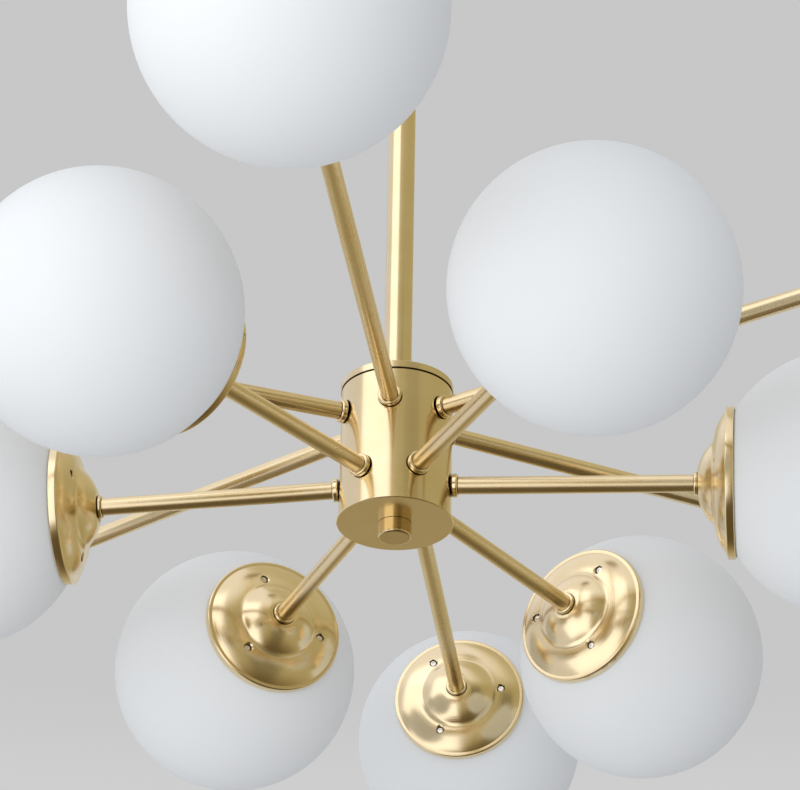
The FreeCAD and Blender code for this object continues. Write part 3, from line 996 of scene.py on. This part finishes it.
@dataclass
class Cups(Assembly):
    """Spun cups with their sunk screws, rings and seals."""

    radius: float = 0.043
    depth: float = 0.0209
    wall: float = 0.0012
    glass: float = 0.0754
    band: float = 0.005
    edge: float = 0.0004
    turn: float = 0.001
    step: float = 0.0024
    skirt_rise: float = 0.0066
    skirt_bow: float = 0.0011
    ridge: float = 0.026
    cove_width: float = 0.0036
    cove_rise: float = 0.0017
    cove_sag: float = 0.00033
    dome_bow: float = 0.00105
    flat: float = 0.009
    bore: float = 0.00515
    steps: int = 120
    soft: float = 0.0003
    soft_steps: int = 2
    soft_angle: float = 42.0
    smooth_angle: float = 38.0
    upper_clock: float = 84.0
    lower_clock: float = 26.0
    lower_clock_step: float = 65.0
    circle: float = 0.028675
    seat: float = -0.07154
    flange: Span = (-0.07034, -0.06904)
    boss: float = 0.00355
    boss_length: float = 0.012
    pocket: float = 0.00235
    pocket_room: float = 1.02
    sink: float = -0.0733
    flare: float = 0.0032
    flare_length: float = 0.0035
    hole: float = 0.0016
    overrun: float = 0.0002
    seat_steps: int = 40
    head: float = 0.0022
    head_height: float = 0.001
    head_round: float = 0.00045
    head_land: float = 0.00148
    head_bow: float = 0.00015
    head_steps: int = 5
    shank: float = 0.00145
    hexagon: float = 0.00125
    hexagon_sides: int = 6
    hexagon_depth: float = 0.0007
    screw_steps: int = 36
    screw_angle: float = 30.0
    rough: float = 0.20
    relief: float = 0.25
    screw: PlainFinish = PlainFinish(
        "screw_plate", (0.92, 0.87, 0.79), (0.82, 0.77, 0.69), 0.16, 1.0)
    # Dark finish of the screw pockets: painted shade in the recesses
    pocket_shade: PlainFinish = PlainFinish(
        "pocket_painted_shade", (0.16, 0.12, 0.07), (0.09, 0.07, 0.04), 0.4, 1.0)
    steel: PlainFinish = plated("ring_plate")
    silicone: PlainFinish = PlainFinish(
        "white_silicone", (0.82, 0.82, 0.81), (0.76, 0.76, 0.75), 0.7)

    def build(self) -> None:
        """Models the cups and the screws and sets them on the arms."""
        blank, outside = self._blank()
        tool, boss, screw = self._tool(), self._boss(), self._screw()
        for tier in Tier:
            finishes = (self._brass(tier), self.pocket_shade)
            for number in range(ARMS_PER_TIER):
                place = tier.place(number)
                seats = self._seats(tier, number)
                cup = self._cup(blank, outside, boss, tool, seats)
                piece = copied(cup, f"{tier.label}_cup_{number + 1}", place)
                bpy.data.objects.remove(cup)
                keep(piece, finishes, f"{tier.label}_cups", "frame")
                for count, seat in enumerate(seats):
                    name = f"{tier.label}_{number + 1}_screw_{count + 1}"
                    piece = copied(screw, name, place @ seat)
                    keep(piece, (self.screw,), "cup_screws", "frame")
        for piece in (blank, outside, tool, boss, screw):
            bpy.data.objects.remove(piece)

    def dress(self) -> None:
        """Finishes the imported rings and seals."""
        self.steel.dress("gallery_rings")
        self.silicone.dress("globe_seals")

    def _brass(self, tier: Tier) -> CupBrass:
        """The brass of one tier's cups, brushed round the arms."""
        name = f"{tier.label}_cup_brass"
        return CupBrass(name, Grain.ROUND_ARM, rough=self.rough, relief=self.relief, tier=tier)

    def _seats(self, tier: Tier, number: int) -> List[Matrix]:
        """Frames of one cup's screws.

        Args:
            tier: The ring of arms.
            number: The arm, counted from 0.

        Returns:
            A matrix for each screw, from its own axis to the arm's end.
        """
        first = self.lower_clock + self.lower_clock_step * number
        if tier is Tier.UPPER:
            first = self.upper_clock
        seats = []
        for count in range(SCREWS_PER_CUP):
            turn = math.radians(first + 180.0) + FULL_TURN * count / SCREWS_PER_CUP
            seats.append(Matrix.Rotation(turn, 4, "Z") @ Matrix.Translation((self.circle, 0, 0)))
        return seats

    def _blank(self) -> Tuple[bpy.types.Object, bpy.types.Object]:
        """Spins the cup before its screw seats are cut.

        Returns:
            The hollow cup, and the same outside as a full solid.
        """
        within = self.radius - self.wall
        front = -math.sqrt(self.glass ** 2 - within ** 2)
        back = front - self.depth
        band = front - self.band
        shoulder = (band, self.radius - self.step)
        ridge = (band - self.skirt_rise, self.ridge)
        foot = (ridge[0] - self.cove_rise, self.ridge - self.cove_width)
        flat = (back, self.flat)
        rise = self.turn * (1 - math.sqrt(0.5))
        outer = [(front, self.radius - self.edge), (front - self.edge, self.radius)]
        outer += bow((band + self.turn, self.radius), (band, self.radius - self.turn), rise)
        outer += bow(shoulder, ridge, self.skirt_bow)
        outer += bow(foot, ridge, self.cove_sag)[-2::-1]
        outer += bow(foot, flat, self.dome_bow)[1:]
        dome = bow(foot, flat, self.dome_bow, self.wall)[::-1]
        skirt = bow(shoulder, ridge, self.skirt_bow, self.wall)[::-1]
        inner = [(back, self.bore), (dome[0][0], self.bore), *dome, *skirt]
        inner += [(skirt[-1][0], within), (front, within)]
        hollow = Bench.turned("blank", outer + inner, self.steps).leave()
        solid = [*outer, (back, 0.0), (front, 0.0)]
        return hollow, Bench.turned("outside", solid, self.steps).leave()

    def _boss(self) -> bpy.types.Object:
        """Models the metal round one screw, too long on purpose.

        Returns:
            The boss.
        """
        top, deep = self.flange[0], self.flange[0] - self.boss_length
        outline = [(top, 0.0), (top, self.boss), (deep, self.boss), (deep, 0.0)]
        return Bench.turned("boss", outline, self.seat_steps).leave()

    def _tool(self) -> bpy.types.Object:
        """Models the cutter of one screw seat: hole, pocket and a soft flare.

        Returns:
            The cutter.
        """
        through = self.flange[0] + self.overrun
        outside = self.sink - self.flare_length
        outline = [
            (through, 0.0),
            (through, self.hole),
            (self.seat, self.hole),
            (self.seat, self.pocket),
            (self.sink, self.pocket),
            (outside, self.pocket + self.flare),
            (outside, 0.0),
        ]
        return Bench.turned("tool", outline, self.seat_steps).leave()

    def _screw(self) -> bpy.types.Object:
        """Models one screw with a rounded head and a hexagon socket.

        Returns:
            The screw.
        """
        face = self.seat - self.head_height
        side, land = (face + self.head_round, self.head), (face, self.head_land)
        crown = bow(side, land, self.head_bow, steps=self.head_steps)
        outline = [
            (self.flange[1], 0.0),
            (self.flange[1], self.shank),
            (self.seat, self.shank),
            (self.seat, self.head),
            *crown,
            (face, 0.0),
        ]
        bench = Bench.turned("screw", outline, self.screw_steps)
        bench.leave()
        key = Bench.start(
            "key",
            bpy.ops.mesh.primitive_cylinder_add,
            vertices=self.hexagon_sides,
            radius=self.hexagon,
            depth=self.hexagon_depth * 2,
            location=(0, 0, face),
        )
        bench.carve("DIFFERENCE", key.leave())
        return bench.smooth(self.screw_angle)

    def _cup(
        self,
        blank: bpy.types.Object,
        outside: bpy.types.Object,
        boss: bpy.types.Object,
        tool: bpy.types.Object,
        seats: Sequence[Matrix],
    ) -> bpy.types.Object:
        """Gives a blank its screw seats.

        Args:
            blank: The spun cup.
            outside: The same cup as a full solid.
            boss: The metal round one screw.
            tool: The cutter of one screw seat.
            seats: The frames of the screws.

        Returns:
            The finished cup, with its pockets in the second material, which paints shade in them.
        """
        inside = Bench(joined([copied(boss, "inside", seat) for seat in seats]))
        inside.carve("INTERSECT", outside, keep_tool=True)
        cup = Bench(copied(blank, "cup", Matrix.Identity(4)))
        cup.carve("UNION", inside.piece)
        cup.carve("DIFFERENCE", joined([copied(tool, "cutter", seat) for seat in seats]))
        cup.modify(
            "BEVEL",
            width=self.soft,
            segments=self.soft_steps,
            limit_method="ANGLE",
            angle_limit=math.radians(self.soft_angle),
        )
        # Faces in a pocket take the second material, the painted shade
        frames = [seat.inverted() for seat in seats]
        for face in cup.piece.data.polygons:
            spots = [turn @ face.center for turn in frames]
            face.material_index = int(any(self._in_pocket(spot) for spot in spots))
        return cup.smooth(self.smooth_angle)

    def _in_pocket(self, spot: Vector) -> bool:
        """Whether a spot in a screw's own frame lies in its pocket."""
        return spot.z > self.sink and spot.xy.length < self.pocket * self.pocket_room


@dataclass
class Lamps(Assembly):
    """Lamp holders, the caps behind them and the bulbs."""

    glaze: PlainFinish = PlainFinish(
        "glazed_white", (0.86, 0.85, 0.82), (0.80, 0.79, 0.76), 0.25)
    steel: PlainFinish = plated("cap_plate")

    def dress(self) -> None:
        """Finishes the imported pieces."""
        self.steel.dress("holder_caps")
        for tier in Tier:
            self.glaze.dress(f"{tier.label}_lamp_holders")
            BulbFinish(f"{tier.label}_bulb_glass", tier).dress(*tier.names("bulb"))


@dataclass(frozen=True)
class Viewpoint:
    """The camera of the photograph: where it stands, which way it looks and its lens."""

    place: Tuple[float, float, float] = (0.2117, -1.67591, -1.40521)
    azimuth: float = -7.145
    elevation: float = 29.387
    roll: float = -1.054
    lens: float = 151.28
    sensor: float = 36.0
    far: float = 50.0

    def build(self) -> None:
        """Adds the camera and makes it the scene's own."""
        turn, lift = math.radians(self.azimuth), math.radians(self.elevation)
        level = (math.sin(turn) * math.cos(lift), math.cos(turn) * math.cos(lift))
        ahead = Vector((*level, math.sin(lift)))
        right = ahead.cross(Vector((0, 0, 1))).normalized()
        lean = math.radians(self.roll)
        top = right.cross(ahead) * math.cos(lean) + right * math.sin(lean)
        turned = Matrix((ahead.cross(top), top, -ahead)).transposed().to_4x4()
        camera = bpy.data.objects.new("camera", bpy.data.cameras.new("camera"))
        camera.matrix_world = Matrix.Translation(self.place) @ turned
        camera.data.lens = self.lens
        camera.data.sensor_width = self.sensor
        camera.data.clip_end = self.far
        bpy.context.scene.collection.objects.link(camera)
        bpy.context.scene.camera = camera


@dataclass(frozen=True)
class MetalRoom:
    """The room as brass shows it, by directions in degrees: bright left, dull right, dark floor."""

    bright_side: float = 0.74
    dull_side: float = 0.46
    under: float = 0.12
    bright_tint: Color = (1.0, 1.0, 1.08)
    dull_tint: Color = (1.0, 0.89, 0.52)
    under_tint: Color = (1.0, 0.74, 0.34)
    left_near: Span = (-9.0, 12.0)
    left_far: Span = (-165.0, -135.0)
    back_turn: Span = (145.0, 172.0)
    back_lift: Span = (-15.0, 15.0)
    back_gain: float = 0.5
    back_low: float = 0.3
    above_lift: Span = (30.0, 45.0)
    above_right: Span = (5.0, 80.0)
    above_left: Span = (-180.0, -130.0)
    above_low: float = 0.2
    above_gain: float = 0.22
    pane_half: float = 16.0
    pane_edge: float = 2.0
    pane_foot: Span = (-50.0, -40.0)
    pane_top: Span = (44.0, 56.0)
    pane_gain: float = 0.70
    dim_azimuth: float = 38.0
    dim_half: float = 15.0
    dim_edge: float = 4.0
    dim_top: Span = (22.0, 34.0)
    dim_share: float = 0.5
    left_floor: Span = (-64.0, -40.0)
    right_floor: Span = (-58.0, -10.0)

    def shown(
        self, shader: Shader, turn: Value, lift: Value, panes: Sequence[float]
    ) -> Tuple[Value, Value]:
        """Brightness and tint in one direction.

        Args:
            shader: The world's tree.
            turn: Azimuth in degrees.
            lift: Elevation in degrees.
            panes: Azimuths of the window's panes.

        Returns:
            Brightness and tint.
        """
        left = shader.ramp(turn, self.left_near, 1.0, 0.0) * shader.ramp(turn, self.left_far)
        back = shader.ramp(turn.math("ABSOLUTE"), self.back_turn, 0.0, self.back_gain)
        back = back * shader.ramp(lift, self.back_lift, self.back_low, 1.0)
        above = shader.ramp(lift, self.above_lift)
        above = above * shader.ramp(turn, self.above_right, 1.0, self.above_low)
        above = above * shader.ramp(turn, self.above_left, self.above_low, 1.0)
        bright = left.math("MAXIMUM", back).math("MAXIMUM", above)
        window = shader.math("ADD", *(
            shader.near(turn, pane, self.pane_half, self.pane_edge) for pane in panes))
        window = window * shader.ramp(lift, self.pane_foot)
        window = window * shader.ramp(lift, self.pane_top, 1.0, 0.0)
        dim = shader.near(turn, self.dim_azimuth, self.dim_half, self.dim_edge)
        dim = dim * shader.ramp(lift, self.dim_top, 1.0, 0.0)
        low = left * shader.ramp(lift, self.left_floor)
        low = low + (1.0 - left) * shader.ramp(lift, self.right_floor)
        level = bright * (self.bright_side - self.dull_side) + self.dull_side
        level = level + window * self.pane_gain + above * self.above_gain
        level = level * (1.0 - dim * self.dim_share)
        level = low * level + (1.0 - low) * self.under
        tint = shader.mix(bright, self.dull_tint, self.bright_tint)
        return level, shader.mix(low, self.under_tint, tint)


@dataclass
class Room:
    """Plain pale room: floor, soft window light and even light all round."""

    floor_height: float = -2.4
    floor_radius: float = 1.5
    floor_tone: Color = (0.85, 0.85, 0.84)
    floor_rough: float = 0.9
    floor_steps: int = 96
    wall_tone: float = 0.62
    ceiling_tone: float = 0.575
    ceiling_line: Span = (22.5, 24.5)
    fill: float = 0.60
    fill_lean: float = 0.12
    fill_rise: float = 0.10
    fill_from: Span = (-0.9, -0.44)
    pane_azimuths: Tuple[float, float] = (-53.0, -21.0)
    pane_distance: float = 1.8
    pane_size: Tuple[float, float] = (1.2, 2.4)
    pane_rise: float = 0.05
    pane_power: float = 3.6
    front_azimuth: float = -12.0
    front_rise: float = -0.47
    front_distance: float = 1.7
    front_size: Tuple[float, float] = (1.6, 1.6)
    front_power: float = 6.8
    metal: MetalRoom = MetalRoom()

    def build(self) -> None:
        """Sets up the whole room."""
        self._floor()
        for azimuth in self.pane_azimuths:
            place = (azimuth, self.pane_rise, self.pane_distance)
            self._panel(place, self.pane_size, self.pane_power)
        place = (self.front_azimuth, self.front_rise, self.front_distance)
        self._panel(place, self.front_size, self.front_power)
        self._air()
        bpy.context.scene.view_settings.view_transform = "Standard"

    def _floor(self) -> None:
        """Adds the round pale floor below the light."""
        bpy.ops.object.select_all(action="DESELECT")
        bpy.ops.mesh.primitive_circle_add(
            vertices=self.floor_steps,
            radius=self.floor_radius,
            fill_type="NGON",
            location=(0, 0, self.floor_height),
        )
        floor = bpy.context.object
        floor.name = "floor"
        material = bpy.data.materials.new("pale_floor")
        material.use_nodes = True
        tone = (*self.floor_tone, 1.0)
        Shader(material.node_tree).surface({"Base Color": tone, "Roughness": self.floor_rough})
        floor.data.materials.append(material)
        floor.visible_glossy = False
        floor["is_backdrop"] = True

    def _panel(
        self, place: Tuple[float, float, float], size: Tuple[float, float], power: float
    ) -> None:
        """Adds one soft panel of light that faces the hub.

        Args:
            place: Azimuth in degrees, rise for each metre outwards, and distance from the hub.
            size: Width and height.
            power: Power in watts.
        """
        turn = math.radians(place[0])
        out = Vector((math.sin(turn), -math.cos(turn), place[1])).normalized()
        light = bpy.data.lights.new("panel", "AREA")
        light.shape = "RECTANGLE"
        light.size, light.size_y = size
        light.energy = power
        lamp = bpy.data.objects.new("panel", light)
        lamp.location = Vector((0, 0, HUB_HEIGHT)) + out * place[2]
        lamp.rotation_euler = (-out).to_track_quat("-Z", "Y").to_euler()
        lamp.visible_glossy = False
        bpy.context.scene.collection.objects.link(lamp)

    def _air(self) -> None:
        """Fills the room with soft light, and gives metal its own room to show."""
        world = bpy.data.worlds.new("room")
        world.use_nodes = True
        bpy.context.scene.world = world
        shader = Shader(world.node_tree)
        x, y, z = shader.axes("Generated")
        turn = x.math("ARCTAN2", y * -1.0) * DEGREES
        lift = z.math("ARCSINE") * DEGREES
        level, tint = self.metal.shown(shader, turn, lift, self.pane_azimuths)
        soft = (x * self.fill_from[0] + y * self.fill_from[1]) * self.fill_lean
        soft = soft + z * self.fill_rise + self.fill
        wall = shader.ramp(lift, self.ceiling_line, self.wall_tone, self.ceiling_tone)
        glossy = shader.add("ShaderNodeLightPath", output="Is Glossy Ray")
        camera = shader.add("ShaderNodeLightPath", output="Is Camera Ray")
        strength = level * glossy + soft * (1.0 - glossy)
        strength = camera * wall + (1.0 - camera) * strength
        color = shader.mix(glossy, (1.0, 1.0, 1.0), tint)
        sky = shader.add("ShaderNodeBackground", {}, {"Color": color, "Strength": strength})
        shader.add("ShaderNodeOutputWorld", {}, {0: sky}, None)


def write_sizes() -> None:
    """Works out the box of the solids and of the dressed part, and keeps neither."""
    boxes = {"cad": CAD_BOX, "visual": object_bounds()}
    {name: [list(corner) for corner in box] for name, box in boxes.items()}


def main() -> None:
    """Builds and dresses the chandelier and sets up the camera and the room."""
    logging.basicConfig(level=logging.INFO, format="%(name)s: %(message)s")
    for assembly in (CeilingFitting(), Stem(), Hub(), Arms(), Cups(), Globes(), Lamps()):
        assembly.build()
        assembly.dress()
    Viewpoint().build()
    Room().build()
    write_sizes()


if __name__ == "__main__":
    main()
